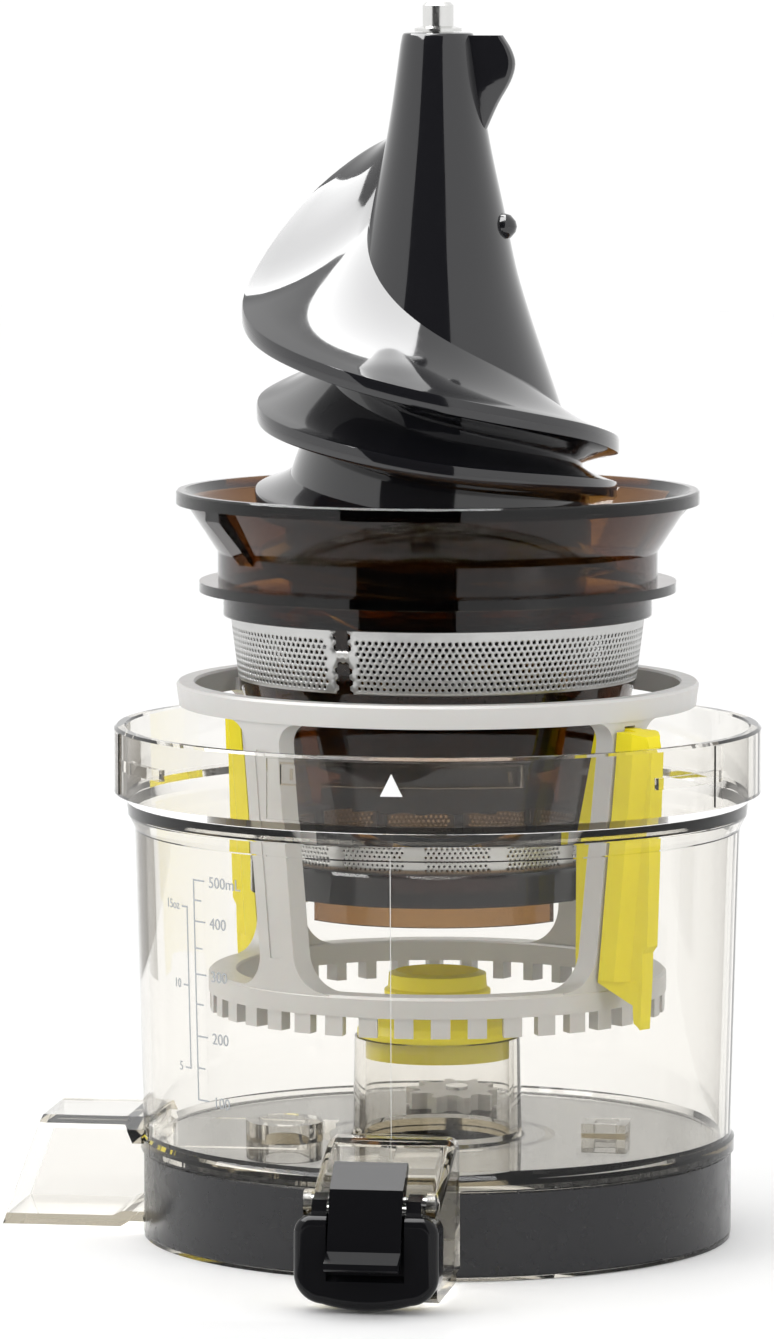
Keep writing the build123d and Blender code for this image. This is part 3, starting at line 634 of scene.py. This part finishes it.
def lid_mark():
    """Raised white triangle on the collar that shows where the lid turns to."""
    ink = print_ink("white_print", (0.9, 0.9, 0.9))
    r0, r1, half, z0, z1 = 72.15, 72.6, 2.4, 105.4, 110.2
    corners = [(-half, z0), (half, z0), (0, z1)]
    verts = [polar(r, radians(LID_MARK_ANGLE) + s / r, z) for r in (r0, r1) for s, z in corners]
    faces = [[0, 1, 2], [3, 5, 4], [0, 3, 4, 1], [1, 4, 5, 2], [2, 5, 3, 0]]
    piece("lid_mark", verts, faces, ink, "bowl", 30)


def moulded_lines(mats):
    """Fine raised edge round the collar's slot, and the parting line down the front of the wall."""
    left, width, foot, height, line = -26.5, 53.0, 107.0, 4.6, 0.4
    edges = [(left, width, foot, line), (left, width, foot + height, line), (left, line, foot, height),
             (left + width, line, foot, height + line), (left + 2.4, 0.7, foot + 1.2, 2.4),
             (left + width - 2.8, 0.7, foot + 1.2, 2.4)]
    verts, faces = wrapped([(SLOT_ANGLE,) + edge for edge in edges], collar_radius, 0.25)
    piece("slot_edge", verts, faces, mats["smoky_plastic"], "bowl", 30)
    seam = print_ink("parting_line", (0.70, 0.70, 0.68))
    verts, faces = wrapped([(PARTING_ANGLE, 0, 0.16, 24.5, 68.0)], wall_radius, 0.08)
    piece("parting_line", verts, faces, seam, "bowl", 30)


# --- studio: sizes and places in metres ---------------------------------------------------------------
MIDDLE = (0, 0, 0.13)
FLOOR_HALF = 4.0
FLOOR_DROP = 0.0002
WORLD_LIGHT = 1.03


def plane(name, width, depth):
    verts = [(-width / 2, -depth / 2, 0), (width / 2, -depth / 2, 0), (width / 2, depth / 2, 0),
             (-width / 2, depth / 2, 0)]
    mesh = bpy.data.meshes.new(name)
    mesh.from_pydata(verts, [], [(0, 1, 2, 3)])
    return link(bpy.data.objects.new(name, mesh))


def card(name, mat, centre, size, target):
    """A flat card that only reflections or refractions show."""
    obj = plane(name, *size)
    obj.location = centre
    obj.rotation_euler = (Vector(target) - Vector(centre)).to_track_quat("Z", "Y").to_euler()
    obj.data.materials.append(mat)
    obj.visible_camera = False
    obj.visible_diffuse = False
    obj.visible_shadow = False
    return obj


def softbox(name, centre, size, power):
    data = bpy.data.lights.new(name, "AREA")
    data.shape = "RECTANGLE"
    data.size, data.size_y = size
    data.energy = power
    obj = link(bpy.data.objects.new(name, data))
    obj.location = centre
    obj.rotation_euler = (Vector(MIDDLE) - Vector(centre)).to_track_quat("-Z", "Y").to_euler()
    return obj


def backdrop():
    """Pale floor and an even white surround."""
    floor = plane("floor", 2 * FLOOR_HALF, 2 * FLOOR_HALF)
    floor.location.z = -FLOOR_DROP
    floor.data.materials.append(shader("pale_floor", Base_Color=(0.98, 0.98, 0.98, 1), Roughness=0.7))
    world = bpy.data.worlds.new("studio")
    world.use_nodes = True
    background = world.node_tree.nodes["Background"]
    background.inputs["Color"].default_value = (1, 1, 1, 1)
    background.inputs["Strength"].default_value = WORLD_LIGHT
    bpy.context.scene.world = world


def lights():
    """Key and fill light the pieces; the sheen from above is seen in reflections only."""
    key = softbox("key", (-1.2, -0.9, 1.1), (0.9, 0.9), 5)
    fill = softbox("fill", (1.5, -1.0, 0.6), (0.5, 1.2), 3)
    key.visible_glossy = False
    fill.visible_glossy = False
    sheen = softbox("sheen", (-0.36, -0.1, 1.2), (1.3, 1.5), 52)
    sheen.visible_diffuse = False
    sheen.visible_transmission = False


def cards():
    """Black in front keeps the gloss dark; grey at the sides darkens the bowl's edges."""
    dark = shader("black_card", Base_Color=(0.004, 0.004, 0.004, 1), Roughness=0.9)
    grey = shader("grey_card", Base_Color=(0.16, 0.14, 0.11, 1), Roughness=0.9)
    card("front_card", dark, (-0.124, -0.891, 0.42), (0.98, 1.2), MIDDLE)
    foot = card("foot_card", dark, (-0.02, -0.21, 0.0004), (0.08, 0.19), (-0.02, -0.21, 1))
    foot.visible_transmission = False
    left = card("left_card", grey, (-0.240, 0.13, 0.13), (0.26, 0.19), (-0.240, 0, 0.13))
    right = card("right_card", grey, (0.255, 0.13, 0.11), (0.26, 0.22), (0.255, 0, 0.11))
    for side in (left, right):
        side.visible_glossy = False


camera()
mats = finishes()
paint_nodes(mats)
auger(mats)
strainer_sheets(mats)
volume_marks()
lid_mark()
moulded_lines(mats)
backdrop()
lights()
cards()
bpy.context.scene.view_settings.view_transform = "Standard"
